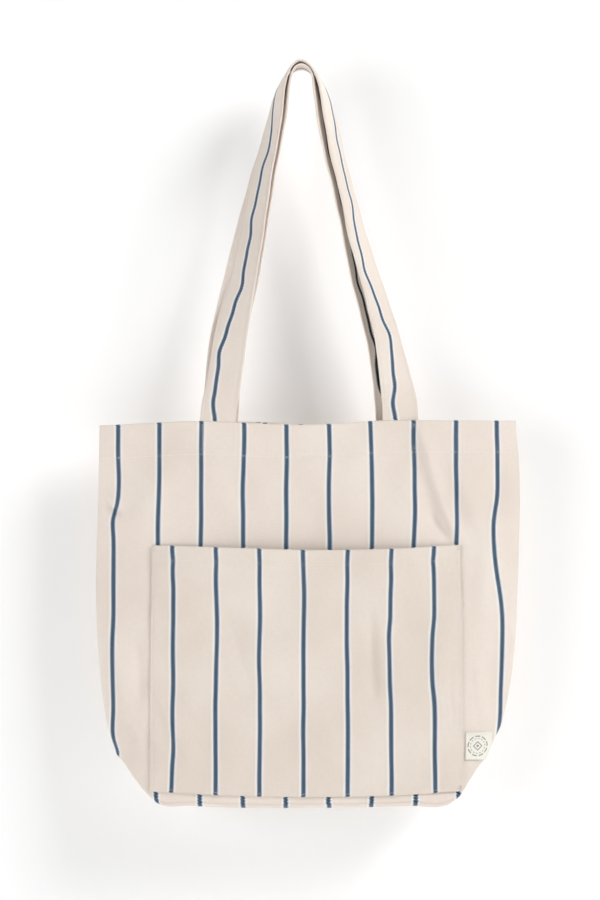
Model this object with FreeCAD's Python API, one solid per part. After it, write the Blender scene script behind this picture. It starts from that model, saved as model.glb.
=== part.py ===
import FreeCAD, Part
import math
import os

# Striped canvas tote bag, hanging from a hook by its two shoulder straps.
# Millimetres. +Z up, +X to the right of someone who faces the pocket, -Y towards them.
# The origin is the hook's seat: the middle of the underside of the inner handle's crown.

# Cloth and thread
canvas = 0.9
strap_thickness = 2.0
thread_width = 0.8
thread_height = 0.4
lay = 0.15                     # air left between two plies of cloth that lie on each other

# Body
body_width = 420.0
body_height = 384.0
body_offset_x = 8.0            # the load hangs a little off the hook
mouth_depth = 24.0
base_depth = 76.0
base_sag = 12.0
corner_inset = 48.0            # taken off each lower corner by the boxed base
corner_height = 146.0
mouth_hem = 30.0
hem_ease = 60.0                # over which the turned-in hem comes back to the panel
side_seam_turning = 10.0

# Pocket
pocket_margin = 8.0            # from the base's end to the pocket's side, on average
pocket_shift = -1.7            # the pocket is sewn on a little left of the middle
pocket_rise = 2.0              # from the base's edge up to the pocket's lower edge
pocket_drop = 124.0            # from the rim down to the pocket's mouth
pocket_hem = 14.0
pocket_turning = 9.0
pocket_slack = 12.0            # how far the mouth of the pocket stands off the body

# Straps
strap_width = 36.0
handle_drop = 354.0            # from the hook's seat down to the rim
front_strap_spacing = 182.0
back_strap_spacing = 174.0
strap_tail = 28.0
crown_radius = 15.0
crown_gap = 4.0
crown_splay = 18.0             # degrees from plumb at which the legs leave the crown
leg_ease = 60.0                # how long a leg keeps its direction at each end
handle_parting = 0.6           # under 1, the two handles come apart soon below the hook
rim_gap = 0.4

# Label
label_width = 26.0
label_height = 27.0
label_gap = 3.0                # from the pocket's side to the label
label_rise = 35.0              # from the base's edge up to the label
label_thickness = 0.5

# Stitching
hem_stitch_inset = 2.0
edge_stitch_inset = 2.5
box_stitch_inset = 4.0
label_stitch_inset = 1.5
strap_box_gap = 1.6            # from the hem stitching up to the box sewn over each strap

# How the hanging cloth curves: powers of the share of the way down
corner_curve = 2.2
depth_curve = 1.2
mouth_fullness = 4.0           # a lens at the mouth
base_fullness = 22.0           # a box at the base
base_edge_softness = 0.6
twist_curve = 1.2
normal_step = 0.5              # over which the slope of the cloth is taken

# Points that the surfaces pass through
body_columns = 33
body_rows = 25
pocket_columns = 25
pocket_rows = 17
seam_columns = 5
hem_rows = 4
base_rows = 13
band_columns = 5
leg_points = 13
arc_points = 6
edge_columns = 9
label_points = 6

rim_z = -handle_drop
edge_z = rim_z - body_height + base_sag
ply = canvas + lay
strap_ply = strap_thickness + lay

pocket_top = rim_z - pocket_drop
pocket_bottom = edge_z + pocket_rise
pocket_height = pocket_top - pocket_bottom
pocket_width = body_width - 2 * corner_inset - 2 * pocket_margin
pocket_offset_x = body_offset_x + pocket_shift
pocket_left = pocket_offset_x - pocket_width / 2
pocket_right = pocket_offset_x + pocket_width / 2


def slab(outside, inside):
    """Closed solid between two grids of points that face each other."""
    surfaces = []
    for grid in (outside, inside):
        surface = Part.BSplineSurface()
        surface.interpolate(grid)
        surfaces.append(surface)
    top, bottom = surfaces
    u0, u1, v0, v1 = top.bounds()
    a0, a1, b0, b1 = bottom.bounds()
    rims = [
        (top.uIso(u0), bottom.uIso(a0)),
        (top.uIso(u1), bottom.uIso(a1)),
        (top.vIso(v0), bottom.vIso(b0)),
        (top.vIso(v1), bottom.vIso(b1)),
    ]
    faces = [top.toShape(), bottom.toShape()]
    for first, second in rims:
        faces.append(Part.makeRuledSurface(first.toShape(), second.toShape()))
    shell = Part.Shell(faces)
    shell.sewShape()
    solid = Part.Solid(Part.Shell(shell.Faces))
    if solid.Volume < 0:
        solid.reverse()
    return solid


def spread(low, high, count):
    return [low + (high - low) * i / (count - 1) for i in range(count)]


def half_width(z):
    """Half of the body's width at height z, with the boxed corners drawn in."""
    down = max(0.0, (edge_z + corner_height - z) / corner_height)
    return body_width / 2 - corner_inset * down ** corner_curve


def half_depth(z):
    down = max(0.0, (rim_z - z) / (rim_z - edge_z))
    return mouth_depth / 2 + (base_depth - mouth_depth) / 2 * down ** depth_curve


def body_point(side, x, z):
    """Point of the body's outer face: side -1 is the front, 1 the back.

    A lens at the mouth turns into a rounded box at the base.
    """
    across = min(1.0, abs(x - body_offset_x) / half_width(z))
    down = max(0.0, (rim_z - z) / (rim_z - edge_z))
    fullness = mouth_fullness + (base_fullness - mouth_fullness) * down * down
    softness = 1 / (1 + base_edge_softness * down * down)
    belly = (half_depth(z) - ply) * (1 - across ** fullness) ** softness
    return FreeCAD.Vector(x, side * (ply + belly), z)


def body_normal(side, x, z):
    """Outward direction, taken a little in from the side edge, where the outline ends."""
    step = normal_step
    near_x = body_offset_x + (x - body_offset_x) * (1 - 2 * step / half_width(z))
    along_x = body_point(side, near_x + step, z) - body_point(side, near_x - step, z)
    along_z = body_point(side, near_x, z + step) - body_point(side, near_x, z - step)
    normal = along_x.cross(along_z) * -side
    normal.normalize()
    return normal


def lifted(side, x, z, lift):
    """Point that stands off the body's outer face by lift, or lies inside it when negative."""
    return body_point(side, x, z) + body_normal(side, x, z) * lift


def level(lift):
    """The same lift everywhere."""
    return lambda x, z: lift


def above(face, lift):
    """A face, moved outward by lift."""
    return lambda x, z: face(x, z) + lift


def patch(side, columns, rows, low, high):
    """Cloth between two faces, low(x, z) and high(x, z) off the body; columns(z) lists the x."""
    grids = []
    for face in (high, low):
        grids.append([[lifted(side, x, z, face(x, z)) for x in columns(z)] for z in rows])
    return slab(grids[0], grids[1])


def crowded(middle, half, count):
    """Places on both sides of a middle, closer together towards the ends."""
    shares = spread(-1, 1, count)
    return [middle + half * math.copysign(1 - (1 - abs(share)) ** 2, share) for share in shares]


def across_body(z):
    return crowded(body_offset_x, half_width(z), body_columns)


def band(left, right, count):
    return lambda z: spread(left, right, count)


def pocket_lift(x, z):
    """Space under the pocket: nothing but the turned edge at its seams, most at its mouth."""
    across = 2 * (x - pocket_offset_x) / pocket_width
    up = max(0.0, (z - pocket_bottom) / pocket_height)
    return lay + ply + pocket_slack * (1 - min(1.0, across * across)) * up


def strap_line(spacing, crown_z, radius, end_z, centre_x):
    """Points along a strap's middle, from its left end over the crown to its right end."""
    splay = math.radians(crown_splay)
    line = []
    for sign in (-1, 1):
        start = (radius * math.cos(splay), crown_z - radius + radius * math.sin(splay))
        end = (spacing / 2 + sign * centre_x, end_z)
        ease_out = (start[0] + leg_ease * math.sin(splay), start[1] - leg_ease * math.cos(splay))
        ease_in = (end[0], end[1] + leg_ease)
        leg = []
        for t in spread(0, 1, leg_points):
            weights = ((1 - t) ** 3, 3 * t * (1 - t) ** 2, 3 * t * t * (1 - t), t ** 3)
            corners = (start, ease_out, ease_in, end)
            x = sum(weight * corner[0] for weight, corner in zip(weights, corners))
            z = sum(weight * corner[1] for weight, corner in zip(weights, corners))
            leg.append((sign * x, z))
        arc = []
        for angle in spread(math.pi / 2, splay, arc_points)[:-1]:
            arc.append((sign * radius * math.cos(angle), crown_z - radius + radius * math.sin(angle)))
        half = arc + leg
        line = half[::-1] if sign < 0 else line + half[1:]
    return line


def strap_frames(line, crown_z, end_z, end_y):
    """Middle, width direction and outward direction of a strap at each point of its line."""
    frames = []
    for i, (x, z) in enumerate(line):
        before = line[max(0, i - 1)]
        after = line[min(len(line) - 1, i + 1)]
        along = FreeCAD.Vector(after[0] - before[0], 0, after[1] - before[1])
        if i == 0 or i == len(line) - 1:
            along = FreeCAD.Vector(0, 0, 1 if i == 0 else -1)
        along.normalize()
        inward = FreeCAD.Vector(along.z, 0, -along.x)
        down = (crown_z - z) / (crown_z - end_z)
        twist = math.pi / 2 * (1 - down) ** twist_curve
        toward_front = FreeCAD.Vector(0, -1, 0)
        width_way = inward * math.cos(twist) + toward_front * math.sin(twist)
        out_way = inward * -math.sin(twist) + toward_front * math.cos(twist)
        y = end_y * down ** handle_parting
        frames.append((FreeCAD.Vector(x, y, z), width_way, out_way))
    return frames


def strap_band(frames, left, right, low, high):
    """Band along a strap: left and right are across it, low and high are off its middle."""
    grids = []
    for lift in (high, low):
        rows = []
        for middle, width_way, out_way in frames:
            places = spread(left, right, band_columns)
            rows.append([middle + width_way * place + out_way * lift for place in places])
        grids.append(rows)
    return slab(grids[0], grids[1])


nodes = {}

# Body: front and back panels and the boxed base
face_rows = spread(rim_z, edge_z, body_rows)
for name, side in (("front_panel", -1), ("back_panel", 1)):
    nodes[name] = patch(side, across_body, face_rows, level(-canvas), level(0.0))


def base_grid(thickness):
    """The base hangs as a shallow trough between the lower edges of the two panels."""
    rows = []
    for angle in spread(0, math.pi, base_rows):
        row = []
        for x in across_body(edge_z):
            half = body_point(1, x, edge_z).y
            sag = base_sag * half / half_depth(edge_z)
            y = -(half - thickness) * math.cos(angle)
            z = edge_z - lay - (sag - thickness * sag / base_sag) * math.sin(angle)
            row.append(FreeCAD.Vector(x, y, z))
        rows.append(row)
    return rows


nodes["base_panel"] = slab(base_grid(0.0), base_grid(canvas))

# Hems: the rim is turned in, and the strap tails lie between the two plies
hem_low = rim_z - mouth_hem
hem_places = spread(rim_z, hem_low, hem_rows)
straps_half = front_strap_spacing / 2 + strap_width / 2


def across_hem(z):
    half = half_width(z) - side_seam_turning - 2 * ply
    return spread(body_offset_x - half, body_offset_x + half, body_columns)


def hem_lift(x, z):
    """The turned-in ply passes behind the strap tails and comes back to the panel beside them."""
    past = max(0.0, abs(x - body_offset_x) - straps_half - lay) / hem_ease
    return -ply - strap_ply * (1 + math.cos(math.pi * min(1.0, past))) / 2


for name, side in (("front_hem", -1), ("back_hem", 1)):
    nodes[name] = patch(side, across_hem, hem_places, above(hem_lift, -canvas), hem_lift)

strap_places = {"front": (-1, front_strap_spacing), "back": (1, back_strap_spacing)}
tail_places = spread(rim_z, rim_z - strap_tail, hem_rows)
tail_low = level(-ply - strap_thickness)
tail_high = level(-ply)
for name, (side, spacing) in strap_places.items():
    for hand, sign in (("left", -1), ("right", 1)):
        middle = body_offset_x + sign * spacing / 2
        columns = band(middle - strap_width / 2, middle + strap_width / 2, band_columns)
        nodes[f"{name}_strap_tail_{hand}"] = patch(side, columns, tail_places, tail_low, tail_high)

# Seam turnings inside the body
seam_top = hem_low - lay
seam_places = spread(seam_top, edge_z + ply, pocket_rows)
for hand, sign in (("left", -1), ("right", 1)):
    def turning_grid(face, sign=sign):
        rows = []
        for z in seam_places:
            row = []
            for inset in spread(2 * ply, 2 * ply + side_seam_turning, seam_columns):
                x = body_offset_x + sign * (half_width(z) - inset)
                wall = body_normal(1, x, z)
                room = body_point(1, x, z).y - canvas / wall.y - lay
                row.append(FreeCAD.Vector(x, face * min(canvas, room), z))
            rows.append(row)
        return rows

    nodes[f"side_seam_turning_{hand}"] = slab(turning_grid(-1), turning_grid(1))

# Pocket
def across_pocket(inset):
    return lambda z: crowded(pocket_offset_x, pocket_width / 2 - inset, pocket_columns)


def turned_ply(columns, rows):
    """Cloth turned in behind the pocket's own ply."""
    return patch(-1, columns, rows, above(pocket_lift, -ply), above(pocket_lift, -lay))


pocket_places = spread(pocket_top, pocket_bottom, pocket_rows)
hem_inset = pocket_turning + lay
pocket_hem_places = spread(pocket_top, pocket_top - pocket_hem, hem_rows)
nodes["pocket_panel"] = patch(
    -1, across_pocket(0.0), pocket_places, pocket_lift, above(pocket_lift, canvas)
)
nodes["pocket_hem"] = turned_ply(across_pocket(hem_inset), pocket_hem_places)
nodes["pocket_turned_edges"] = Part.makeCompound([
    turned_ply(band(pocket_left, pocket_left + pocket_turning, edge_columns), pocket_places),
    turned_ply(band(pocket_right - pocket_turning, pocket_right, edge_columns), pocket_places),
    turned_ply(
        across_pocket(hem_inset),
        spread(pocket_bottom + pocket_turning, pocket_bottom, pocket_rows),
    ),
])

# Woven label, wrapped towards the drawn-in corner
label_top = edge_z + label_rise + label_height
label_places = spread(label_top, label_top - label_height, label_points)


def across_label(inset):
    def columns(z):
        left = pocket_right + label_gap
        right = min(left + label_width, body_offset_x + half_width(z) - 2 * ply)
        return spread(left + inset, right - inset, label_points)

    return columns


nodes["woven_label"] = patch(
    -1, across_label(0.0), label_places, level(lay), level(lay + label_thickness)
)


# Stitching: each row of thread is a thin raised line on the cloth that it holds
def thread(side, columns, rows, face):
    return patch(side, columns, rows, above(face, lay), above(face, lay + thread_height))


def thread_across(side, columns, z, face):
    return thread(side, columns, spread(z + thread_width / 2, z - thread_width / 2, 2), face)


def thread_down(side, x, top, bottom, face):
    columns = band(x - thread_width / 2, x + thread_width / 2, 2)
    return thread(side, columns, spread(top, bottom, pocket_rows), face)


body_face = level(0.0)
hem_stitch_z = hem_low + hem_stitch_inset
box_top = rim_z - box_stitch_inset
box_bottom = hem_stitch_z + strap_box_gap
box_half = strap_width / 2 - box_stitch_inset
for name, (side, spacing) in strap_places.items():
    nodes[f"{name}_hem_stitching"] = thread_across(side, across_hem, hem_stitch_z, body_face)
    boxes = []
    for sign in (-1, 1):
        middle = body_offset_x + sign * spacing / 2
        for x in (middle - box_half, middle + box_half):
            boxes.append(thread_down(side, x, box_top, box_bottom, body_face))
        inside = box_half - thread_width
        columns = band(middle - inside, middle + inside, band_columns)
        for z in (box_top, box_bottom):
            boxes.append(thread_across(side, columns, z, body_face))
    nodes[f"{name}_strap_stitching"] = Part.makeCompound(boxes)

pocket_face = above(pocket_lift, canvas)
stitch_left = pocket_left + edge_stitch_inset
stitch_right = pocket_right - edge_stitch_inset
stitch_bottom = pocket_bottom + edge_stitch_inset
between = band(stitch_left + thread_width, stitch_right - thread_width, pocket_columns)
nodes["pocket_edge_stitching"] = Part.makeCompound([
    thread_down(-1, stitch_left, pocket_top, stitch_bottom, pocket_face),
    thread_down(-1, stitch_right, pocket_top, stitch_bottom, pocket_face),
    thread_across(-1, between, stitch_bottom, pocket_face),
])
pocket_hem_stitch_z = pocket_top - pocket_hem + hem_stitch_inset
nodes["pocket_hem_stitching"] = thread_across(-1, between, pocket_hem_stitch_z, pocket_face)

label_face = level(lay + label_thickness)
across_label_stitches = across_label(label_stitch_inset)
nodes["label_stitching"] = Part.makeCompound([
    thread_across(-1, across_label_stitches, label_top - label_stitch_inset, label_face),
    thread_across(
        -1, across_label_stitches, label_top - label_height + label_stitch_inset, label_face
    ),
])

# Handles: the back one hangs inside the front one on the same hook
inner_crown = strap_thickness / 2
crowns = {
    "back": (inner_crown, crown_radius),
    "front": (inner_crown + strap_thickness + crown_gap, crown_radius + strap_thickness + crown_gap),
}
for name, (side, spacing) in strap_places.items():
    crown_z, radius = crowns[name]
    end_z = rim_z + rim_gap
    tail_x = body_offset_x + spacing / 2
    end_y = side * (abs(body_point(side, tail_x, rim_z).y) - ply - strap_thickness / 2)
    line = strap_line(spacing, crown_z, radius, end_z, body_offset_x)
    frames = strap_frames(line, crown_z, end_z, end_y)
    half_strap = strap_width / 2
    half_thick = strap_thickness / 2
    nodes[f"{name}_handle"] = strap_band(frames, -half_strap, half_strap, -half_thick, half_thick)
    rows = []
    low = half_thick + lay
    for sign in (-1, 1):
        place = sign * (half_strap - edge_stitch_inset)
        left = place - thread_width / 2
        right = place + thread_width / 2
        rows.append(strap_band(frames, left, right, low, low + thread_height))
    nodes[f"{name}_handle_stitching"] = Part.makeCompound(rows)

os.makedirs("parts", exist_ok=True)
for name, shape in nodes.items():
    if not shape.isValid():
        raise ValueError(f"{name} is not a valid solid")
    shape.exportStep(f"parts/{name}.step")
    print(name, len(shape.Solids), "solids", round(shape.Volume), "mm3")
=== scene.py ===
import math

import bpy
import numpy as np
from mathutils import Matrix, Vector


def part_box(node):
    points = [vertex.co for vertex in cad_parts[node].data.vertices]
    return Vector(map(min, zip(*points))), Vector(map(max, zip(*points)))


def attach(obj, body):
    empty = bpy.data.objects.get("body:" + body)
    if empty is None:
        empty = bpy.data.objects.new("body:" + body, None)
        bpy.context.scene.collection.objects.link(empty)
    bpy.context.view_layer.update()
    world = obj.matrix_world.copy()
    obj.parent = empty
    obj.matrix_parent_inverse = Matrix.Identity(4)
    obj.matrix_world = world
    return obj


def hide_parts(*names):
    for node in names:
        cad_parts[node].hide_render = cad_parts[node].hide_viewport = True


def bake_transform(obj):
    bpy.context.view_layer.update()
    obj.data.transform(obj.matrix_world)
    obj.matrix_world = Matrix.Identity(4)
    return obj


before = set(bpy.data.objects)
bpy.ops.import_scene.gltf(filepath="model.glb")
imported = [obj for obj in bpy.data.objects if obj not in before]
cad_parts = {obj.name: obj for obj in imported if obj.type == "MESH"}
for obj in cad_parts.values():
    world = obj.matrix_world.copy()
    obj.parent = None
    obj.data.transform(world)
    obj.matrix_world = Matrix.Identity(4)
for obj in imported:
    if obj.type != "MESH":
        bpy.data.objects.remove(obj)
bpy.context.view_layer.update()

# Canvas tote bag that hangs by both handles. All sizes below are millimetres until make_mesh.
# X to the right, -Y towards the viewer, Z up; the origin is the hook's seat.
MM = 0.001


def box_mm(node):
    low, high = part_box(node)
    return np.array(low) / MM, np.array(high) / MM


PANEL_LOW, PANEL_HIGH = box_mm("front_panel")
POCKET_LOW, POCKET_HIGH = box_mm("pocket_panel")
LABEL_LOW, LABEL_HIGH = box_mm("woven_label")
RIM = PANEL_HIGH[2]

CANVAS = 0.9
GAP = 0.15                      # air between two plies that lie on each other
PLY = CANVAS + GAP
HEM = 31.0
SEAM_TURNING = 10.0
MOUTH_HALF = 12.0               # half the bag's depth at the mouth and at the base
BASE_HALF = 32.0
BASE_SAG = 7.0
PANEL_DROP = 374.0              # from the rim down the middle of a panel
CORNER_Z = -690.0               # where the lower corners begin

POCKET_FOOT = -724.0
POCKET_DROP = 246.0
POCKET_HEM = 15.0
POCKET_TURNING = 9.0
POCKET_SLACK = 8.5              # how far its mouth stands off the body
ROW_INSET = 2.6                 # from a pocket's edge to its row of stitches

STRAP_WIDTH = 36.0
STRAP_THICK = 2.0
STRAP_TAIL = 28.0
STRAP_MIDDLES = {"front": (-82.4, 99.4), "back": (-80.0, 93.5)}

LABEL_WIDTH = 27.0
LABEL_THICK = 0.5

STRIPE_PITCH = 42.2
POCKET_STRIPE_PITCH = 43.4
BACK_STRIPE_SHIFT = 14.0
STRIPES_MIDDLE = (PANEL_LOW[0] + PANEL_HIGH[0]) / 2 - 1.0
SIDES = {"front": -1, "back": 1}


# ---------------------------------------------------------------- curves and soft shapes
def hermite(places, values, slopes, at):
    """Cubic curve with the given values and slopes at rising places."""
    i = np.clip(np.searchsorted(places, at) - 1, 0, len(places) - 2)
    span = places[i + 1] - places[i]
    t = (at - places[i]) / span
    return (
        values[i] * (1 + 2 * t) * (1 - t) ** 2
        + values[i + 1] * t * t * (3 - 2 * t)
        + slopes[i] * span * t * (1 - t) ** 2
        - slopes[i + 1] * span * t * t * (1 - t)
    )


def through(points, at):
    """Smooth curve through (place, value) points, flat beyond both ends."""
    places, values = np.array(sorted(points), float).T
    at = np.clip(np.asarray(at, float), places[0], places[-1])
    slopes = np.gradient(values, places)
    slopes[0] = slopes[-1] = 0
    return hermite(places, values, slopes, at)


def ease(value, low, high):
    t = np.clip((np.asarray(value, float) - low) / (high - low), 0, 1)
    return t * t * (3 - 2 * t)


def fold(x, z, start, end, width, height, strength=2.1):
    """A soft ridge (or a crease when height is negative) from start to end, dying out at both."""
    (x0, z0), (x1, z1) = start, end
    length = math.hypot(x1 - x0, z1 - z0)
    along = ((x - x0) * (x1 - x0) + (z - z0) * (z1 - z0)) / length ** 2
    off = ((x - x0) * (z1 - z0) - (z - z0) * (x1 - x0)) / length
    ends = ease(along, -0.25, 0.25) * (1 - ease(along, 0.75, 1.25))
    return strength * height * ends * np.exp(-(off / width) ** 2)


def ripples(x, z, seed, count, shortest, longest, height):
    """Gentle random unevenness of cloth."""
    rng = np.random.RandomState(seed)
    total = np.zeros(np.broadcast(x, z).shape)
    for _ in range(count):
        angle, phase = rng.uniform(0, 2 * math.pi, 2)
        length = rng.uniform(shortest, longest)
        along = x * math.cos(angle) + z * math.sin(angle)
        total += length / longest * np.sin(2 * math.pi / length * along + phase)
    return total * height / math.sqrt(count)


# ---------------------------------------------------------------- the hanging body
# Outlines as points: sides are (z, x), rims and the lower edge are (x, z)
LEFT_SIDE = [
    (-734, -184), (-686, -184), (-662, -192), (-632, -197.5), (-582, -202.4),
    (-532, -204.6), (-472, -203.8), (-432, -202.4), (-392, -201.8), (-355, -201.2),
]
RIGHT_SIDE = [
    (-734, 186), (-690, 186), (-672, 193), (-662, 198), (-632, 206.5), (-582, 213.8),
    (-532, 216.5), (-472, 218.4), (-432, 219.2), (-392, 218.2), (-355, 215.3),
]
FRONT_RIM = [
    (-202, -357.2), (-150, -355), (-100, -353.2), (-50, -355.2), (0, -356.8),
    (40, -355.4), (75, -352.8), (117, -352.4), (216, -352.6),
]
BACK_RIM = [
    (-202, -357.2), (-150, -354.8), (-100, -353), (-50, -353.6), (-20, -354.6),
    (10, -356.4), (40, -355.6), (75, -353), (117, -352.4), (216, -352.6),
]
LOWER_EDGE = [
    (-186, -685), (-163, -709), (-151, -721), (-143, -727), (-110, -729.5), (0, -731.5),
    (110, -729.5), (150, -727.5), (161, -719.5), (170, -707), (188, -687),
]
# Folds: start (x, z), end (x, z), width, height
FRONT_FOLDS = [
    ((119, -362), (152, -470), 8, 3.4),
    ((140, -400), (170, -470), 9, -2.0),
    ((132, -446), (156, -480), 7, -2.6),
    ((96, -392), (118, -452), 13, 1.2),
    ((-203, -432), (-183, -446), 5, -3.0),
    ((-203, -420), (-175, -436), 7, 1.6),
    ((-101, -384), (-66, -452), 12, 1.6),
    ((-60, -386), (-28, -446), 12, 1.3),
    ((-120, -384), (-168, -456), 14, 1.5),
    ((20, -392), (-8, -462), 18, 1.0),
    ((62, -388), (30, -456), 14, 1.2),
    ((-162, -575), (-160, -632), 6, -1.4),
    ((-176, -655), (-166, -672), 6, -1.2),
    ((-190, -560), (-176, -640), 8, 1.0),
    ((188, -470), (176, -560), 10, 1.5),
    ((196, -560), (182, -650), 9, -1.3),
    ((176, -590), (184, -660), 6, 1.2),
    ((203, -392), (190, -440), 9, -1.2),
]
BACK_FOLDS = [
    ((-110, -380), (-150, -480), 12, 2.4),
    ((104, -380), (140, -500), 12, 2.2),
    ((-60, -390), (-20, -520), 18, 2.0),
    ((40, -400), (10, -560), 20, 1.8),
    ((-160, -560), (-90, -690), 14, -2.2),
    ((150, -540), (80, -690), 16, -2.0),
    ((-30, -560), (20, -680), 22, 2.4),
    ((170, -430), (190, -520), 10, -1.8),
]
POCKET_FOLDS = [
    ((-128, -490), (-44, -546), 14, 1.7),
    ((-118, -508), (-60, -556), 15, -1.0),
    ((-82, -556), (-52, -630), 17, -1.8),
    ((-40, -560), (-18, -640), 16, 1.3),
    ((70, -552), (72, -622), 5, -2.0),
    ((80, -540), (84, -640), 12, 1.3),
    ((152, -596), (154, -655), 5, -1.5),
    ((138, -560), (140, -660), 9, 1.2),
    ((-142, -628), (-104, -694), 8, 1.7),
    ((-128, -622), (-90, -690), 8, -1.2),
    ((20, -500), (4, -590), 18, 1.3),
    ((116, -490), (132, -560), 12, 1.2),
    ((-10, -660), (60, -700), 14, 1.0),
]


def hem_depth(x):
    """How far below the rim the hem's row of stitches runs."""
    return HEM + 2.2 - 1.6 * ease(x, -150, 150)


def side_lines(z):
    return through(LEFT_SIDE, z), through(RIGHT_SIDE, z)


def rim_line(side):
    return FRONT_RIM if side < 0 else BACK_RIM


def swell(side, x, z):
    """How far a calm panel stands off the middle, with its rim and the shares across and down."""
    left, right = side_lines(z)
    across = np.clip(np.abs(2 * (x - left) / (right - left) - 1), 0, 1)
    rim = through(rim_line(side), x)
    down = np.clip((rim - z) / (rim - through(LOWER_EDGE, x)), 0, 1.05)
    half = MOUTH_HALF + (BASE_HALF - MOUTH_HALF) * down ** 1.2
    full = 5 + 2 * down ** 2
    belly = (half - PLY) * np.maximum(1 - across ** full, 0) ** (1 / (1 + 0.5 * down ** 2))
    return belly, rim, across, down


def pucker(along, step, wander, height, off, reach):
    """Small waves that a row of stitches pulls into the cloth; off is the way from the row."""
    waves = np.sin(along * 2 * math.pi / step + 2 * np.sin(along / wander))
    return height * waves * np.exp(-(off / reach) ** 2)


def body_y(side, x, z):
    """Y of the body's outer face; side is -1 for the front and 1 for the back."""
    belly, rim, across, down = swell(side, x, z)
    inside = ease(1 - across, 0, 0.06)
    free = ease(rim - z, HEM - 4, HEM + 26) * (1 - 0.7 * ease(down, 0.9, 1.0)) * inside
    folds = ripples(x, z, 3 if side < 0 else 8, 30, 35, 130, 1.5) * free
    for start, end, width, height in FRONT_FOLDS if side < 0 else BACK_FOLDS:
        folds = folds + fold(x, z, start, end, width, height) * inside
    hem = ripples(x, rim - z, 5, 14, 30, 90, 0.35) * (1 - free) * inside
    off_row = rim - z - hem_depth(x)
    seam = 0.55 * np.exp(-(off_row / 1.6) ** 2)
    lift = folds + hem - seam + pucker(x, 8.3, 21.0, 0.22, off_row, 9.0)
    return side * (PLY + belly + np.maximum(lift, -belly * 0.8 - 0.5) * ease(belly, 0, 6))


# ---------------------------------------------------------------- the pocket's form
def pocket_place(x, z):
    """Share across the pocket, -1 to 1, and share up, 0 to 1."""
    left, right = POCKET_LOW[0], POCKET_HIGH[0] - 1
    return 2 * (x - left) / (right - left) - 1, (z - POCKET_FOOT) / POCKET_DROP


def pocket_y(x, z):
    """Y of the pocket's outer face."""
    across, up = pocket_place(x, z)
    edge = np.minimum(1 - np.abs(across), 1.0) * (POCKET_HIGH[0] - POCKET_LOW[0]) / 2
    seams = ease(edge, 1, 16)
    slack = POCKET_SLACK * np.clip(1 - across ** 2, 0, 1) * np.clip(up, 0, 1.02) ** 1.5
    floor = ease(up, 0.0, 0.09)
    lift = ripples(x, z, 12, 30, 32, 110, 1.5) + 0.6
    for start, end, width, height in POCKET_FOLDS:
        lift = lift + fold(x, z, start, end, width, height)
    turned = 0.5 * (1 - ease(edge, 7, 12)) + 0.5 * (1 - ease(up, 0.03, 0.045))
    mouth = pocket_mouth(x) - z
    hem = 0.8 * (1 - ease(mouth, POCKET_HEM - 1, POCKET_HEM + 1.5))
    groove = 0.5 * np.exp(-((mouth - POCKET_HEM + 0.5) / 1.2) ** 2)
    stitched = 0.35 * np.exp(-((edge - ROW_INSET) / 1.0) ** 2)
    waves = pucker(x, 7.1, 17.0, 0.25, mouth - POCKET_HEM, 7.0) + pucker(z, 8.7, 19.0, 0.18, edge - 3, 7.0)
    rise = CANVAS + slack + np.maximum(lift, -slack * 0.7 - 0.6) * seams * floor
    under = 2 * PLY + swell(-1, x, z)[0]
    return -(under + rise + turned + hem - groove - stitched + waves)


def pocket_mouth(x):
    across, _ = pocket_place(x, 0)
    return through([(-1, -476.6), (-0.5, -478.6), (0.1, -480.9), (0.6, -479.4), (1, -476.4)], across)


def pocket_foot(x):
    across, _ = pocket_place(x, 0)
    return through([(-1, -719.6), (-0.6, -722.4), (0, -724.4), (0.6, -722.6), (1, -719.6)], across)


# ---------------------------------------------------------------- meshes
def normals_of(grid):
    down = np.gradient(grid, axis=0)
    right = np.gradient(grid, axis=1)
    normal = np.cross(down, right)
    return normal / np.maximum(np.linalg.norm(normal, axis=2, keepdims=True), 1e-9)


def new_object(name, data):
    made = bpy.data.objects.new(name, data)
    bpy.context.scene.collection.objects.link(made)
    return made


def smooth(mesh):
    mesh.polygons.foreach_set("use_smooth", np.ones(len(mesh.polygons), bool))


def make_mesh(name, points, faces, flat, material):
    """A mesh from millimetre points; flat holds each point's place on the uncut cloth, in metres."""
    mesh = bpy.data.meshes.new(name)
    mesh.from_pydata((points * MM).tolist(), [], faces)
    smooth(mesh)
    layer = mesh.uv_layers.new(name="cloth")
    corners = np.empty(len(mesh.loops), np.int32)
    mesh.loops.foreach_get("vertex_index", corners)
    layer.data.foreach_set("uv", flat.astype(np.float32)[corners].ravel())
    mesh.materials.append(material)
    return new_object(name, mesh)


def grid_faces(rows, cols, start, turned):
    r, c = np.meshgrid(np.arange(rows - 1), np.arange(cols - 1), indexing="ij")
    a = (start + r * cols + c).ravel()
    quads = np.stack([a, a + cols, a + cols + 1, a + 1], 1)
    return quads[:, ::-1] if turned else quads


def cloth(name, grid, flat, thick, material):
    """Closed cloth: rows run down and columns to the right of someone who faces its outer side."""
    rows, cols = grid.shape[:2]
    thick = np.broadcast_to(np.asarray(thick, float), (rows, cols))[..., None]
    inner = grid - normals_of(grid) * thick
    count = rows * cols
    index = np.arange(count).reshape(rows, cols)
    ring = np.concatenate([index[0, :-1], index[:-1, -1], index[-1, :0:-1], index[:0:-1, 0]])
    ahead = np.roll(ring, -1)
    edge = np.stack([ring, ahead, ahead + count, ring + count], 1)
    faces = np.concatenate([grid_faces(rows, cols, 0, False), grid_faces(rows, cols, count, True), edge])
    points = np.concatenate([grid.reshape(-1, 3), inner.reshape(-1, 3)])
    flat = np.concatenate([flat.reshape(-1, 2)] * 2)
    return make_mesh(name, points, faces.tolist(), flat, material)


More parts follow.
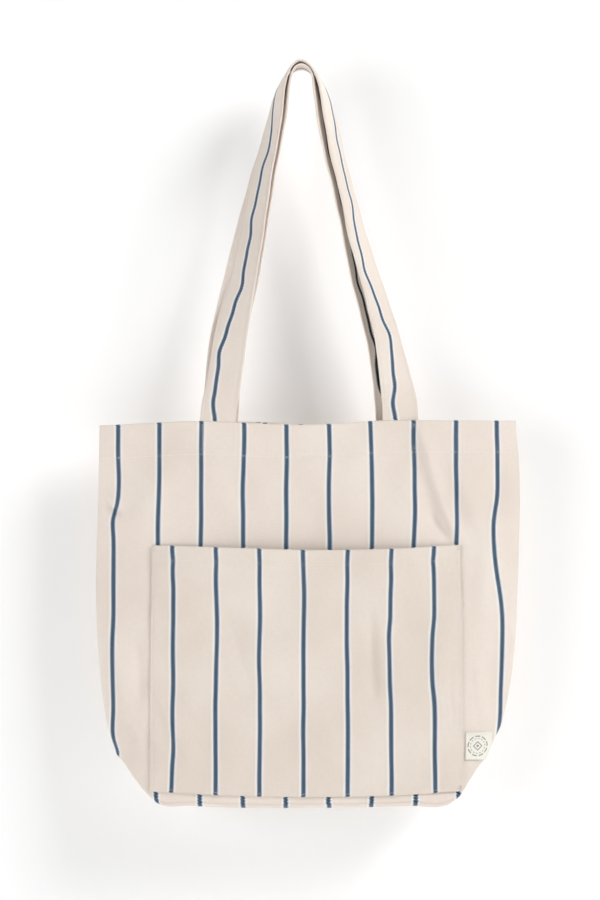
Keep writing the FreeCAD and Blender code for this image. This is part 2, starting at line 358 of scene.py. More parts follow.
def flat_across(grid, middle_x):
    """Way across the flat cloth from where x is middle_x, in metres."""
    steps = np.linalg.norm(np.diff(grid, axis=1), axis=2)
    along = np.concatenate([np.zeros((len(grid), 1)), np.cumsum(steps, axis=1)], 1)
    middle = np.array([np.interp(middle_x, xs, ways) for xs, ways in zip(grid[..., 0], along)])
    return (along - middle[:, None]) * MM


def flat_down(grid, top):
    """Height on the flat cloth, in metres, that falls from top with the way down."""
    steps = np.linalg.norm(np.diff(grid, axis=0), axis=2)
    down = np.concatenate([np.zeros((1, grid.shape[1])), np.cumsum(steps, axis=0)])
    return (top - down) * MM


def shares(count, crowd=1.4):
    """Shares from 0 to 1, closer together at both ends."""
    t = np.linspace(-1, 1, count)
    return (1 + np.sign(t) * (1 - (1 - np.abs(t)) ** crowd)) / 2


def sew_on(piece, slot, *nodes):
    """The piece stands for the nodes and moves with the bag."""
    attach(piece, "bag")
    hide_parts(*nodes)


# ---------------------------------------------------------------- materials
class Wire:
    """A shader socket that can be used in arithmetic."""

    def __init__(self, tree, socket):
        self.tree = tree
        self.socket = socket

    def node(self, kind, output=0, settings=None, **inputs):
        made = self.tree.nodes.new(kind)
        for key, value in (settings or {}).items():
            setattr(made, key, value)
        for key, value in inputs.items():
            index = int(key[1:]) if key[1:].isdigit() else key.replace("_", " ")
            if isinstance(value, Wire):
                self.tree.links.new(value.socket, made.inputs[index])
            else:
                made.inputs[index].default_value = value
        return Wire(self.tree, made.outputs[output])

    def output(self, index):
        """Another output of the same node."""
        return Wire(self.tree, self.socket.node.outputs[index])

    def maths(self, operation, *values):
        inputs = {f"i{i}": value for i, value in enumerate(values)}
        return self.node("ShaderNodeMath", settings={"operation": operation}, **inputs)

    def __add__(self, other):
        return self.maths("ADD", self, other)

    def __sub__(self, other):
        return self.maths("SUBTRACT", self, other)

    def __mul__(self, other):
        return self.maths("MULTIPLY", self, other)

    def __rsub__(self, other):
        return self.maths("SUBTRACT", other, self)

    def sin(self):
        return self.maths("SINE", self)

    def abs(self):
        return self.maths("ABSOLUTE", self)

    def wrap(self, pitch):
        """Distance from the nearest multiple of pitch."""
        return self.maths("WRAP", self, pitch / 2, -pitch / 2)

    def step(self, low, high):
        """0 at low rising smoothly to 1 at high."""
        return self.node(
            "ShaderNodeMapRange", settings={"interpolation_type": "SMOOTHSTEP"},
            Value=self, From_Min=low, From_Max=high,
        )

    def mix(self, first, second):
        """Colour: first where this is 0, second where it is 1."""
        return self.node(
            "ShaderNodeMix", output=2, settings={"data_type": "RGBA"}, i0=self, i6=first, i7=second
        )

    def noise(self, scale, detail):
        return self.node("ShaderNodeTexNoise", Vector=self, Scale=scale, Detail=detail)

    def stretch(self, across, down):
        return self.node(
            "ShaderNodeVectorMath", settings={"operation": "MULTIPLY"}, i0=self, i1=(across, down, 1.0)
        )


def colour(red, green, blue):
    """Linear colour from the usual 0 to 255 values."""
    def linear(value):
        value = value / 255
        return value / 12.92 if value <= 0.04045 else ((value + 0.055) / 1.055) ** 2.4

    return (linear(red), linear(green), linear(blue), 1.0)


def new_material(name):
    material = bpy.data.materials.new(name)
    material.use_nodes = True
    tree = material.node_tree
    tree.nodes.clear()
    start = Wire(tree, None)
    return material, start


def close_material(start, surface):
    output = start.tree.nodes.new("ShaderNodeOutputMaterial")
    start.tree.links.new(surface.socket, output.inputs["Surface"])


def cloth_place(start):
    """Places across and down the flat cloth, in metres."""
    place = start.node("ShaderNodeUVMap", settings={"uv_map": "cloth"})
    across = start.node("ShaderNodeSeparateXYZ", Vector=place)
    return place, across, across.output(1)


CREAM_YARN = (colour(231, 218, 207), colour(240, 229, 219))
# The pocket's cream is the body's cream made a little darker: painted shade on the pocket.
POCKET_PAINTED_SHADE_CREAM_YARN = (colour(226, 213, 202), colour(236, 225, 214))
BLUE_YARN = (colour(8, 32, 56), colour(94, 122, 146))
# Darker navy yarn for the back strap's stripes: painted shade for the deep shadow between the two handles
# and on the shaded left leg.
NAVY_PAINTED_SHADE_YARN = (colour(3, 8, 18), colour(34, 44, 62))
WHITE_YARN = colour(252, 253, 254)
WEAVE_TURN = 2 * math.pi / 0.0013
YARN_TURN = 2 * math.pi / 0.0028


def striped(ground, u, v, wander, grain, pitch, offset, width, yarn):
    """Blue stripes with a dotted white yarn along each side, drawn over the ground."""
    half = width * 0.5 * MM
    saw = (v * YARN_TURN).sin() * 0.0008
    across = (u - offset * MM + (wander - 0.5) * 0.0035).wrap(pitch * MM)
    off = (across + saw).abs()
    core = 1 - off.step(half - 0.0006, half + 0.0002)
    fringe = 1 - off.step(half + 0.0008, half + 0.0018)
    dotted = (v * YARN_TURN).sin() * 0.4 + 0.8
    hatch = ((v + across * 0.8) * YARN_TURN).sin()
    uneven = (grain - 0.5) * 1.6
    blue = (hatch * 0.6 + uneven + 0.42).step(0.0, 1.0).mix(*yarn)
    return core.mix((fringe * dotted).mix(ground, WHITE_YARN), blue)


def canvas_material(name, pitch=STRIPE_PITCH, offset=0.0, width=4.9, cream=CREAM_YARN, yarn=BLUE_YARN):
    """Cream plain weave with narrow blue stripes that run down the cloth; pitch 0 has no stripe."""
    material, start = new_material(name)
    place, u, v = cloth_place(start)
    weave = (u * WEAVE_TURN).sin() * (v * WEAVE_TURN).sin()
    grain = (place.stretch(900.0, 120.0).noise(1.0, 2.0) + place.stretch(140.0, 900.0).noise(1.0, 2.0)) * 0.5
    cloudy = place.noise(11.0, 2.0)
    tone = (grain - 0.5) * 0.8 + (cloudy - 0.5) * 1.3 + weave * 0.08 + 0.5
    ground = tone.step(0.1, 0.9).mix(*cream)
    if pitch:
        ground = striped(ground, u, v, place.noise(14.0, 1.0), grain, pitch, offset, width, yarn)
    bump = start.node("ShaderNodeBump", Strength=0.35, Distance=0.0004, Height=weave * 0.5 + grain * 1.6)
    surface = start.node(
        "ShaderNodeBsdfPrincipled", Base_Color=ground, Roughness=grain * 0.1 + 0.85, Normal=bump,
        Sheen_Weight=0.12, Sheen_Roughness=0.5, Specular_IOR_Level=0.25,
    )
    close_material(start, surface)
    return material


def thread_material(name, tint):
    material, start = new_material(name)
    fibre = start.node("ShaderNodeTexCoord", output="Object").noise(2500.0, 1.0)
    surface = start.node(
        "ShaderNodeBsdfPrincipled", Base_Color=fibre.mix(tint, colour(242, 236, 228)), Roughness=0.7
    )
    close_material(start, surface)
    return material


def label_material(name, centre, radius):
    """Ivory woven tape with two broken rings and a small diamond; centre and radius in millimetres."""
    material, start = new_material(name)
    _, u, v = cloth_place(start)
    x = u - centre[0] * MM
    y = v - centre[1] * MM
    away = start.maths("SQRT", x * x + y * y)
    turn = start.maths("ARCTAN2", y, x)
    ring = 1 - (away - radius * MM).abs().step(0.00035, 0.0008)
    inner_ring = 1 - (away - 0.0074).abs().step(0.00025, 0.0006)
    diamond = 1 - (x.abs() + y.abs() - 0.0042).abs().step(0.0004, 0.0009)
    dot = 1 - away.step(0.0010, 0.0015)
    ink = start.maths("MAXIMUM", ring * (turn * 9.0).sin().step(-0.75, -0.55), diamond)
    ink = start.maths("MAXIMUM", ink, dot)
    ink = start.maths("MAXIMUM", ink, inner_ring * (turn * 14.0).sin().step(-0.2, 0.1) * 0.8)
    twill = ((x + y) * (2 * math.pi / 0.0008)).sin() * 0.5 + 0.5
    tape = twill.mix(colour(234, 231, 220), colour(243, 240, 230))
    paint = (ink * 0.72).mix(tape, colour(76, 78, 78))
    bump = start.node("ShaderNodeBump", Strength=0.3, Distance=0.0002, Height=twill)
    surface = start.node("ShaderNodeBsdfPrincipled", Base_Color=paint, Roughness=0.6, Normal=bump)
    close_material(start, surface)
    return material


PANEL_CANVAS = {
    "front": canvas_material("striped canvas, body"),
    "back": canvas_material("striped canvas, back", offset=BACK_STRIPE_SHIFT),
}
# The pocket uses the darker cream as painted shade.
POCKET_CANVAS = canvas_material("striped canvas, pocket, cream darkened as painted shade", pitch=POCKET_STRIPE_PITCH, cream=POCKET_PAINTED_SHADE_CREAM_YARN)
STRAP_CANVAS = {
    "front": canvas_material("striped canvas, front strap", width=4.6),
    # The back strap's stripes use the darker navy yarn as painted shade.
    "back": canvas_material("striped canvas, back strap, navy stripe as painted shade", width=4.6, yarn=NAVY_PAINTED_SHADE_YARN),
}
INNER_CANVAS = canvas_material("canvas, inside", offset=STRIPE_PITCH / 2)
SEAM_CANVAS = canvas_material("canvas, seams", pitch=0)
THREAD = thread_material("cotton thread", colour(228, 218, 207))
HEM_THREAD = thread_material("white thread", colour(240, 233, 225))
LABEL_IVORY = label_material("ivory woven label", (12.4, -13.8), 9.8)

# ---------------------------------------------------------------- body
# How far the outermost stripes are pulled aside, by height
LEFT_PULL = [
    (-684, 2), (-672, -1.5), (-640, -2.5), (-517, -3), (-470, -2.5), (-452, -3.4), (-444, -2.0),
    (-434, 0.6), (-420, 1.2), (-357, 1.2),
]
RIGHT_PULL = [(-690, -2), (-640, 0.5), (-554, 2), (-504, -2), (-449, -4.5), (-432, -2), (-357, -1.5)]


def body_grid(side, across, down):
    """Points of a panel for shares across (to the viewer's right) and down."""
    s, v = np.meshgrid(across, down)
    left, right = side_lines(RIM)
    top = through(rim_line(side), left + (right - left) * s)
    left, right = side_lines(CORNER_Z)
    foot = through(LOWER_EDGE, left + (right - left) * s)
    z = top + (foot - top) * v
    left, right = side_lines(z)
    x = left + (right - left) * s
    return np.stack([x, body_y(side, x, z), z], 2)


def body_flat(grid):
    """Place on the flat cloth of a panel that hangs with its stripes plumb."""
    x, z = grid[..., 0], grid[..., 2]
    down = np.clip((RIM - z) / (RIM - PANEL_LOW[2]), 0, 1)
    off = x - STRIPES_MIDDLE
    pulled = through(LEFT_PULL, z) * ease(-off, 152, 185) + through(RIGHT_PULL, z) * ease(off, 152, 185)
    pulled = pulled + ripples(x * 0.4, z, 21, 12, 60, 140, 0.7)
    across = ((off - pulled) / (1 + 0.012 * down) + STRIPE_PITCH / 2) * MM
    return np.stack([across, flat_down(grid, RIM)], 2)


def make_panel(which, side):
    across = shares(171)
    grid = body_grid(side, across if side < 0 else across[::-1], shares(151, 1.15))
    panel = cloth(f"{which}_panel_cloth", grid, body_flat(grid), CANVAS, PANEL_CANVAS[which])
    sew_on(panel, "body_canvas", f"{which}_panel")
    return panel, grid


def make_base(front_edge, back_edge):
    """The base hangs as a trough between the two lower edges."""
    turn = np.linspace(0, math.pi, 31)[:, None, None]
    share = (1 - np.cos(turn)) / 2
    grid = front_edge * (1 - share) + back_edge * share
    reach = np.abs(front_edge[:, 1] - back_edge[:, 1]) / (2 * BASE_HALF)
    grid[..., 2] -= GAP + BASE_SAG * np.sin(turn[..., 0]) * reach
    base = cloth("base_cloth", grid, body_flat(grid), CANVAS, PANEL_CANVAS["front"])
    sew_on(base, "body_canvas", "base_panel")
    return base


def beside_straps(which, x):
    """1 where a strap tail lies, falling to 0 beside it."""
    cover = 0
    for middle in STRAP_MIDDLES[which]:
        beside = ease(np.abs(x - middle), STRAP_WIDTH / 2 + 1, STRAP_WIDTH / 2 + 22)
        cover = np.maximum(cover, 1 - beside)
    return cover


def make_hem(which, side):
    """The turned-in ply, behind the panel and the strap tails, with its outer side to the inside."""
    across = np.linspace(0.03, 0.97, 141)
    grid = body_grid(side, across[::-side], np.linspace(0.0015, (HEM + 4) / PANEL_DROP, 15))
    grid[..., 1] -= side * (PLY + (STRAP_THICK + GAP) * beside_straps(which, grid[..., 0]))
    inward = grid[:, ::-1]
    flat = body_flat(inward)
    inward[..., 1] -= side * CANVAS
    hem = cloth(f"{which}_hem_cloth", inward, flat, CANVAS, INNER_CANVAS)
    sew_on(hem, "body_canvas", f"{which}_hem")
    return hem


front_panel, front_grid = make_panel("front", -1)
back_panel, back_grid = make_panel("back", 1)
base_cloth = make_base(front_grid[-1], back_grid[-1][::-1])
hem_pieces = {which: make_hem(which, side) for which, side in SIDES.items()}

# ---------------------------------------------------------------- straps
# Stations along each handle: x, z, turn in degrees (0 faces the viewer, 90 is edge on), and where
# the stripe lies across the strap there, measured towards the inner edge
HANDLES = {
    "front": {
        "left": [
            (-82.8, -358.5, 0, -4), (-81.2, -340, 6, -5.5), (-76.5, -314, 16, -8), (-70.0, -271, 23, -6.5),
            (-65.3, -246, 31, -2), (-60.2, -222, 38, 0.8), (-51.7, -179, 44, 0.2), (-44.0, -137, 51, -1.2),
            (-36.0, -94, 58, 2.2), (-30.6, -72, 62, 3.4), (-26.6, -53, 66, -2), (-22.4, -32, 72, -11),
            (-19.2, -19, 78, -14),
        ],
        "right": [
            (99.6, -358.5, 0, 5.6), (98.3, -333, 12, 6), (93.3, -305, 30, 2), (87.8, -276, 42, -1),
            (79.4, -244, 49, 1.5), (69.4, -210, 55, 6), (56.2, -166.5, 59, 3.5), (47.2, -128, 65, -2),
            (37.2, -89, 66, -3.5), (29.0, -48, 70, -7), (24.4, -29, 75, -12), (20.4, -16, 80, -14),
        ],
        "crown": [
            (-14.4, -6.6, 84, -15), (-7.6, 2.0, 88, -15), (0, 5.2, 90, -15), (7.8, 2.2, 88, -15),
            (14.8, -5.0, 85, -15),
        ],
    },
    "back": {
        "left": [
            (-81.2, -358.5, 0, 2), (-78.5, -320, 0, 2), (-73.2, -271, 4, 3), (-67.8, -246, 7, 1),
            (-62.0, -222, 10, 0), (-52.8, -179, 24, 2), (-44.0, -137, 38, 3), (-34.3, -94, 50, 2),
            (-26.6, -68, 59, 0), (-21.0, -46, 66, 0), (-17.0, -30, 73, 0), (-14.2, -18, 79, 0),
        ],
        # On this leg the stripe is placed so its dark navy lies just beside the front strap's inner edge:
        # painted shade for the dark slot between the two straps.
        "right": [
            (93.6, -358.5, 0, 1), (92.4, -342, 12, 4), (89.8, -325, 22, 10), (85.8, -305, 34, 11.5),
            (79.6, -278, 45, 9.5), (68.8, -239, 52, 9), (58.5, -203, 57, 8), (50.0, -162, 60, 7),
            (39.5, -120, 65, 7.5), (28.0, -76, 67, 6.5), (20.6, -40, 71, 1), (17.0, -24, 77, -1),
            (14.9, -14, 81, -2),
        ],
        "crown": [
            (-10.4, -6.6, 84, 0), (-5.6, -0.8, 88, 0), (0, 1.0, 90, 0), (6.4, -0.8, 88, 0),
            (11.8, -6.2, 85, 0),
        ],
    },
}
STATIONS = 420
PARTING = 1.5                   # how soon the two handles come apart below the hook
STRAP_ROW = 14.8                # from the strap's middle to its rows of stitches


def smooth_line(stations, count):
    """Evenly spaced stations on a smooth curve through the given ones."""
    stations = np.array(stations, float)
    steps = np.hypot(np.diff(stations[:, 0]), np.diff(stations[:, 1]))
    at = np.concatenate([[0], np.cumsum(steps)])
    fine = np.linspace(0, at[-1], count)
    line = [hermite(at, values, np.gradient(values, at), fine) for values in stations.T]
    return np.stack(line, 1), fine


def strap_section():
    """Loop of (across, off) points round a folded, edge-stitched strap."""
    half = STRAP_WIDTH / 2
    radius = STRAP_THICK / 2
    across = np.linspace(-half + radius, half - radius, 33)
    dip = 0.38 * np.exp(-((half - np.abs(across) - (half - STRAP_ROW)) / 0.8) ** 2)
    face = radius + 0.30 * (1 - (across / half) ** 2) - dip
    ends = np.linspace(math.pi / 2, -math.pi / 2, 7)[1:-1]
    right = np.stack([half - radius + radius * np.cos(ends), radius * np.sin(ends)], 1)
    left = -right
    top = np.stack([across, face], 1)
    return np.concatenate([top, right, -top, left])


def strap_frames(which):
    """Middle line of a handle, its way across, its way out, the way along and the stripe's place."""
    side = SIDES[which]
    handle = HANDLES[which]
    stations = handle["left"] + handle["crown"] + handle["right"][::-1]
    line, along = smooth_line(stations, STATIONS)
    x, z, turn, stripe = line.T
    stripe = stripe + 0.8 * np.sin(along * 2 * math.pi / 46 + 1.0) + 0.5 * np.sin(along * 2 * math.pi / 27)
    down = (z.max() - z) / (z.max() - z.min())
    base_x = np.where(x < 0, *STRAP_MIDDLES[which])
    seat = np.abs(body_y(side, base_x, np.full_like(x, RIM - 4))) - PLY - STRAP_THICK / 2 - 0.1
    middle = np.stack([x, side * seat * down ** PARTING, z], 1)
    run = np.gradient(middle[:, [0, 2]], axis=0)
    run /= np.linalg.norm(run, axis=1, keepdims=True)
    inward = np.stack([run[:, 1], np.zeros(len(x)), -run[:, 0]], 1)
    toward = np.array([0.0, -1.0, 0.0])
    angle = np.radians(np.clip(turn, 0, 90))[:, None]
    width_way = inward * np.cos(angle) + toward * np.sin(angle)
    out_way = -inward * np.sin(angle) + toward * np.cos(angle)
    return middle, width_way, out_way, along, stripe


STRAP_LINES = {which: strap_frames(which) for which in HANDLES}


def strap_points(which, across, off, first=0, last=None):
    middle, width_way, out_way, along, _ = (part[first:last] for part in STRAP_LINES[which])
    wave = 0.25 * np.sin(along / 6.5)[:, None] * (np.abs(across) / (STRAP_WIDTH / 2)) ** 2
    return (
        middle[:, None] + width_way[:, None] * across[..., None] + out_way[:, None] * (off + wave)[..., None]
    )


def bend_at_rim(piece):
    """Bakes the piece's placement into its mesh."""
    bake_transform(piece)


def make_strap(which):
    across, off = strap_section().T
    grid = strap_points(which, across[None], off[None])
    rows, cols = grid.shape[:2]
    index = np.arange(rows * cols).reshape(rows, cols)
    ahead = np.roll(index, -1, axis=1)
    faces = np.stack([index[:-1], ahead[:-1], ahead[1:], index[1:]], 2).reshape(-1, 4).tolist()
    faces += [index[0][::-1].tolist(), index[-1].tolist()]
    along, stripe = STRAP_LINES[which][3:]
    u = (across[None] - stripe[:, None]) * MM
    flat = np.stack([u, np.broadcast_to(along[:, None] * MM, u.shape)], 2)
    strap = make_mesh(
        f"{which}_strap", grid.reshape(-1, 3), faces, flat.reshape(-1, 2), STRAP_CANVAS[which]
    )
    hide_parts(f"{which}_handle")
    bend_at_rim(strap)


def make_strap_tail(which, side, hand, middle):
    """A strap's end, between the panel and the turned-in hem."""
    x = np.linspace(middle - STRAP_WIDTH / 2, middle + STRAP_WIDTH / 2, 19)
    x, z = np.meshgrid(x[::-side], np.linspace(RIM - 5, RIM - STRAP_TAIL, 15))
    grid = np.stack([x, body_y(side, x, z) - side * PLY, z], 2)
    flat = np.stack([x - middle, z], 2) * MM
    name = f"{which}_strap_tail_{hand}"
    sew_on(cloth(f"{name}_cloth", grid, flat, STRAP_THICK, STRAP_CANVAS[which]), "strap_canvas", name)


for which in HANDLES:
    make_strap(which)
for which, side in SIDES.items():
    for hand, middle in zip(("left", "right"), STRAP_MIDDLES[which]):
        make_strap_tail(which, side, hand, middle)

# ---------------------------------------------------------------- pocket
# The pocket's sides, as (z, x)
POCKET_LEFT = [(-724, -149.2), (-600, -149), (-476, -147.6)]
POCKET_RIGHT = [(-724, 160.2), (-560, 159.6), (-476, 157.8)]
POCKET_TOP = -478.0


def make_pocket():
    s, v = np.meshgrid(shares(151, 1.3), shares(121, 1.2))
    heights = np.linspace(POCKET_TOP, -722, 121)
    left = through(POCKET_LEFT, heights)[:, None]
    right = through(POCKET_RIGHT, heights)[:, None]
    x = left + (right - left) * s
    mouth, foot = pocket_mouth(x), pocket_foot(x)
    z = mouth + (foot - mouth) * v
    grid = np.stack([x, pocket_y(x, z), z], 2)
    flat = np.stack([flat_across(grid, 2.8), flat_down(grid, POCKET_TOP)], 2)
    edge = (1 - np.abs(pocket_place(x, z)[0])) * 155
    double = (edge < POCKET_TURNING) | (mouth - z < POCKET_HEM) | (z - foot < POCKET_TURNING)
    made = cloth("pocket_cloth", grid, flat, np.where(double, 1.9, CANVAS), POCKET_CANVAS)
    sew_on(made, "pocket_canvas", "pocket_panel", "pocket_hem", "pocket_turned_edges")
    return made


pocket = make_pocket()

# ---------------------------------------------------------------- label
LABEL_LEFT = LABEL_LOW[0]


def make_label():
    height = np.linspace(LABEL_HIGH[2] + 2, LABEL_LOW[2] + 2.5, 29)[:, None]
    right = np.minimum(through(RIGHT_SIDE, height) - 1.2, LABEL_LEFT + LABEL_WIDTH)
    s, v = np.meshgrid(np.linspace(0, 1, 27), np.linspace(0, 1, 29))
    x = LABEL_LEFT + (right - LABEL_LEFT) * s
    z = height - 1.6 * s * v
    grid = np.stack([x, body_y(-1, x, z) - 0.85 - 1.3 * v ** 4, z], 2)
    flat = np.stack([x - LABEL_LEFT, z - height[0]], 2) * MM
    made = cloth("label_cloth", grid, flat, LABEL_THICK, LABEL_IVORY)
    sew_on(made, "label", "woven_label")
    return made


label = make_label()


# ---------------------------------------------------------------- stitching
def stitch_tree(name, length, width, pitch, material):
    """Geometry nodes: one rounded stitch at even steps along each edge line."""
    tree = bpy.data.node_groups.new(name, "GeometryNodeTree")
    tree.interface.new_socket("Geometry", in_out="INPUT", socket_type="NodeSocketGeometry")
    for label_text, value in (("Pitch", pitch), ("Stitch length", length), ("Stitch width", width)):
        socket = tree.interface.new_socket(label_text, in_out="INPUT", socket_type="NodeSocketFloat")
        socket.default_value = value
    tree.interface.new_socket("Geometry", in_out="OUTPUT", socket_type="NodeSocketGeometry")
    nodes = tree.nodes
    given = nodes.new("NodeGroupInput").outputs
    result = nodes.new("NodeGroupOutput")
    curve = nodes.new("GeometryNodeMeshToCurve")
    resample = nodes.new("GeometryNodeResampleCurve")
    resample.mode = "LENGTH"
    points = nodes.new("GeometryNodeInstanceOnPoints")
    ball = nodes.new("GeometryNodeMeshUVSphere")
    ball.inputs["Segments"].default_value = 6
    ball.inputs["Rings"].default_value = 4
    ball.inputs["Radius"].default_value = 0.5
    size = nodes.new("ShaderNodeCombineXYZ")
    tangent = nodes.new("GeometryNodeInputTangent")
    turn = nodes.new("FunctionNodeAlignRotationToVector")
    turn.axis = "X"
    real = nodes.new("GeometryNodeRealizeInstances")
    paint = nodes.new("GeometryNodeSetMaterial")
    paint.inputs["Material"].default_value = material
    for source, target in (
        (given["Geometry"], curve.inputs["Mesh"]),
        (curve.outputs["Curve"], resample.inputs["Curve"]),
        (given["Pitch"], resample.inputs["Length"]),
        (resample.outputs["Curve"], points.inputs["Points"]),
        (ball.outputs["Mesh"], points.inputs["Instance"]),
        (tangent.outputs["Tangent"], turn.inputs["Vector"]),
        (turn.outputs["Rotation"], points.inputs["Rotation"]),
        (given["Stitch length"], size.inputs["X"]),
        (given["Stitch width"], size.inputs["Y"]),
        (given["Stitch width"], size.inputs["Z"]),
        (size.outputs["Vector"], points.inputs["Scale"]),
        (points.outputs["Instances"], real.inputs["Geometry"]),
        (real.outputs["Geometry"], paint.inputs["Geometry"]),
        (paint.outputs["Geometry"], result.inputs["Geometry"]),
    ):
        tree.links.new(source, target)
    return tree


def stitches(name, lines, tree, *nodes):
    """Stitches along lines of millimetre points, as one plain mesh."""
    mesh = bpy.data.meshes.new(name)
    points = []
    edges = []
    for line in lines:
        first = len(points)
        points += (line * MM).tolist()
        edges += [(i, i + 1) for i in range(first, len(points) - 1)]
    mesh.from_pydata(points, edges, [])
    rows = new_object(name, mesh)
    modifier = rows.modifiers.new("stitches", "NODES")
    modifier.node_group = tree
    for item in tree.interface.items_tree:
        if item.in_out == "INPUT" and item.socket_type == "NodeSocketFloat":
            modifier[item.identifier] = item.default_value
    graph = bpy.context.evaluated_depsgraph_get()
    made = bpy.data.meshes.new_from_object(rows.evaluated_get(graph))
    rows.modifiers.clear()
    rows.data = made
    smooth(made)
    if nodes:
        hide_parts(*nodes)
    return rows


def sewn(name, lines, tree, *nodes):
    """Stitches that move with the bag."""
    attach(stitches(name, lines, tree, *nodes), "bag")


def on_face(side, places, lift):
    """Points on the body's outer face for (x, z) places."""
    x, z = places.T
    return np.stack([x, body_y(side, x, z) + side * lift, z], 1)


def on_pocket(places, lift=0.2):
    x, z = places.T
    return np.stack([x, pocket_y(x, z) - lift, z], 1)


def between(start, end, step=2.0):
    start, end = np.array(start, float), np.array(end, float)
    count = max(2, int(np.linalg.norm(end - start) / step) + 1)
    return start + (end - start) * np.linspace(0, 1, count)[:, None]


HEM_STITCH = stitch_tree("hem stitch", 0.0025, 0.001, 0.0033, HEM_THREAD)
SMALL_STITCH = stitch_tree("small stitch", 0.0018, 0.0005, 0.0024, THREAD)
BAR_TACK = stitch_tree("bar tack", 0.0009, 0.0006, 0.0007, HEM_THREAD)


def sew_mouth(which, side):
    """The hem's row, and the crossed box where each strap is sewn in."""
    x = np.linspace(-198, 213, 300)
    row = np.stack([x, through(rim_line(side), x) - hem_depth(x)], 1)
    sewn(f"{which}_hem_row", [on_face(side, row, 0.25)], HEM_STITCH, f"{which}_hem_stitching")
    boxes = []
    for middle in STRAP_MIDDLES[which]:
        reach = STRAP_WIDTH / 2 - 2.5
        left, right = middle - reach, middle + reach
        top = float(through(rim_line(side), middle)) - 4
        low = top - 24
        corners = [(left, top), (right, top), (right, low), (left, low)]
        for first, second in ((0, 1), (1, 2), (2, 3), (3, 0), (0, 2), (1, 3)):
            boxes.append(on_face(side, between(corners[first], corners[second]), 0.12))
    sewn(f"{which}_strap_boxes", boxes, SMALL_STITCH, f"{which}_strap_stitching")


def sew_pocket():
    """Rows along the sides, foot and hem, and tacks at the mouth's ends and the lower right corner."""
    z = np.linspace(-479, -718, 130)
    foot_x = np.linspace(-146, 157, 200)
    rows = [
        np.stack([through(POCKET_LEFT, z) + ROW_INSET, z], 1),
        np.stack([through(POCKET_RIGHT, z) - ROW_INSET, z], 1),
        np.stack([foot_x, pocket_foot(foot_x) + ROW_INSET], 1),
    ]
    sewn("pocket_edge_rows", [on_pocket(row) for row in rows], SMALL_STITCH, "pocket_edge_stitching")
    x = np.linspace(-145, 156, 200)
    hem_row = on_pocket(np.stack([x, pocket_mouth(x) - POCKET_HEM + 0.5], 1))
    sewn("pocket_hem_row", [hem_row], SMALL_STITCH, "pocket_hem_stitching")
    bars = [(x0 - 1.2, x0 + 1.2, -478.5 - k) for x0 in (-146.5, 156.6) for k in range(4)]
    bars += [(156.2, 159.6, -714 - k * 0.8) for k in range(5)]
    tacks = [on_pocket(between((x0, z0), (x1, z0), 0.6), 0.4) for x0, x1, z0 in bars]
    sewn("pocket_bar_tacks", tacks, BAR_TACK)


def sew_label():
    row = on_face(-1, between((LABEL_LEFT + 2, -664.0), (LABEL_LEFT + 24, -664.2)), 1.35)
    sewn("label_row", [row], SMALL_STITCH, "label_stitching")


def sew_strap(which):
    """A row along both edges of both faces."""
    rows = []
    for face in (-0.98, 0.98):
        for place in (-STRAP_ROW, STRAP_ROW):
            rows.append(strap_points(which, np.array([[place]]), np.array([[face]]), 14, -14)[:, 0])
    bend_at_rim(
        stitches(f"{which}_strap_rows", rows, SMALL_STITCH, f"{which}_handle_stitching")
    )


for which, side in SIDES.items():
    sew_mouth(which, side)
sew_pocket()
sew_label()
for which in HANDLES:
    sew_strap(which)


# ---------------------------------------------------------------- seams inside the body
def make_side_seam(hand, sign):
    """The two panels' turnings, which stand in from the side."""
    z = np.linspace(RIM - HEM - 3, -684, 90)
    edge_x = side_lines(z)[0 if sign < 0 else 1]
    inset = np.linspace(3, 3 + SEAM_TURNING, 7)[::-sign]
    x = edge_x[:, None] - sign * inset
    z = np.broadcast_to(z[:, None], x.shape)
    grid = np.stack([x, 0.4 * np.sin(z / 17) - CANVAS, z], 2)
    flat = np.stack([x, z], 2) * MM
    seam = cloth(f"side_seam_{hand}_cloth", grid, flat, 2 * CANVAS, SEAM_CANVAS)
    sew_on(seam, "body_canvas", f"side_seam_turning_{hand}")
    return seam


side_seams = [make_side_seam("left", -1), make_side_seam("right", 1)]

# ---------------------------------------------------------------- stage, camera, light
# All in metres
PALE = colour(250, 250, 250)
WALL_Y = 0.07
FLOOR_Z = -0.95
STAGE_REACH = 6.0
WALL_TOP = 4.0


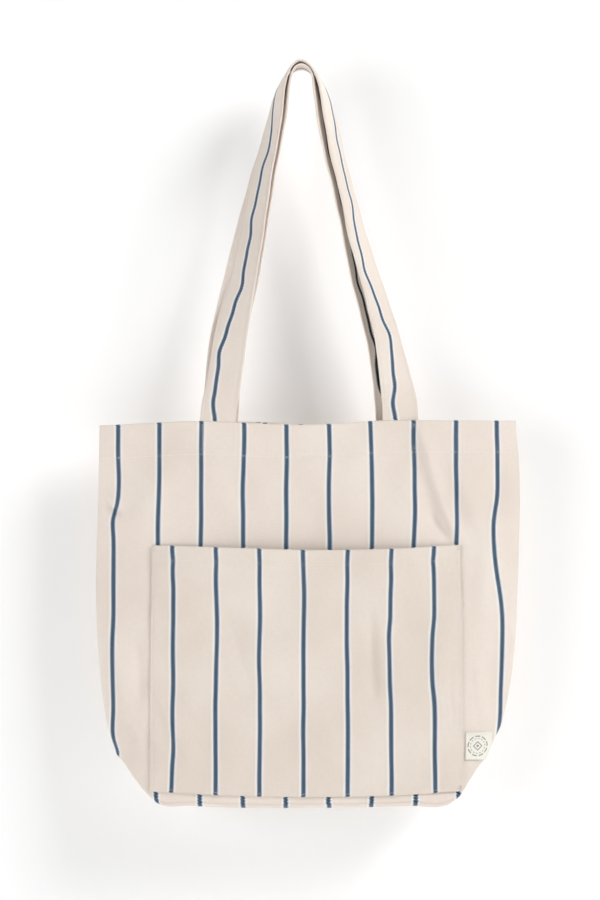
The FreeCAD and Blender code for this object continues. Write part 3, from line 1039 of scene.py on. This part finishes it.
def stage_sheet(name, corners):
    """A pale plane seen from its front only."""
    mesh = bpy.data.meshes.new(name)
    mesh.from_pydata(corners, [], [(0, 1, 2, 3)])
    material, start = new_material(name)
    facing = start.node("ShaderNodeNewGeometry", output="Backfacing")
    solid = start.node(
        "ShaderNodeBsdfPrincipled", Base_Color=PALE, Roughness=0.9, Emission_Color=PALE,
        Emission_Strength=0.08,
    )
    clear = start.node("ShaderNodeBsdfTransparent")
    close_material(start, start.node("ShaderNodeMixShader", i0=facing, i1=solid, i2=clear))
    mesh.materials.append(material)
    sheet = new_object(name, mesh)
    return sheet


def square(low, high):
    """Corners of an upright or level plane that faces the viewer or up."""
    (x0, y0, z0), (x1, y1, z1) = low, high
    return [(x0, y0, z0), (x1, y0, z0), (x1, y1, z1), (x0, y1, z1)]


wall = stage_sheet("pale_wall", square((-STAGE_REACH, WALL_Y, FLOOR_Z), (STAGE_REACH, WALL_Y, WALL_TOP)))
wall.visible_shadow = False
stage_sheet(
    "pale_floor", square((-STAGE_REACH, -STAGE_REACH, FLOOR_Z), (STAGE_REACH, STAGE_REACH, FLOOR_Z))
)

DISTANCE = 2.5
VIEW_HEIGHT = 0.9
camera_data = bpy.data.cameras.new("camera")
camera_data.sensor_width = 36.0
camera_data.lens = DISTANCE / VIEW_HEIGHT * camera_data.sensor_width
camera_data.clip_end = 50
camera = new_object("camera", camera_data)
camera.location = (-0.0007, -DISTANCE, -0.382)
camera.rotation_euler = (math.pi / 2, 0, 0)
bpy.context.scene.camera = camera


def soft_light(name, place, size, power):
    data = bpy.data.lights.new(name, "AREA")
    data.shape = "SQUARE"
    data.size = size
    data.energy = power
    lamp = new_object(name, data)
    lamp.location = place
    target = Vector((0.0, 0.0, -0.45))
    lamp.rotation_euler = (target - Vector(place)).to_track_quat("-Z", "Y").to_euler()
    lamp.visible_camera = False


soft_light("key", (2.1, -1.75, 1.35), 1.3, 61)
soft_light("fill", (-2.2, -1.9, -0.5), 2.0, 42)
soft_light("rear", (1.0, 2.2, 1.2), 1.6, 26)

world = bpy.data.worlds.new("studio")
world.use_nodes = True
world.node_tree.nodes["Background"].inputs["Color"].default_value = (1, 1, 1, 1)
world.node_tree.nodes["Background"].inputs["Strength"].default_value = 0.14
bpy.context.scene.world = world
bpy.context.scene.view_settings.view_transform = "Standard"
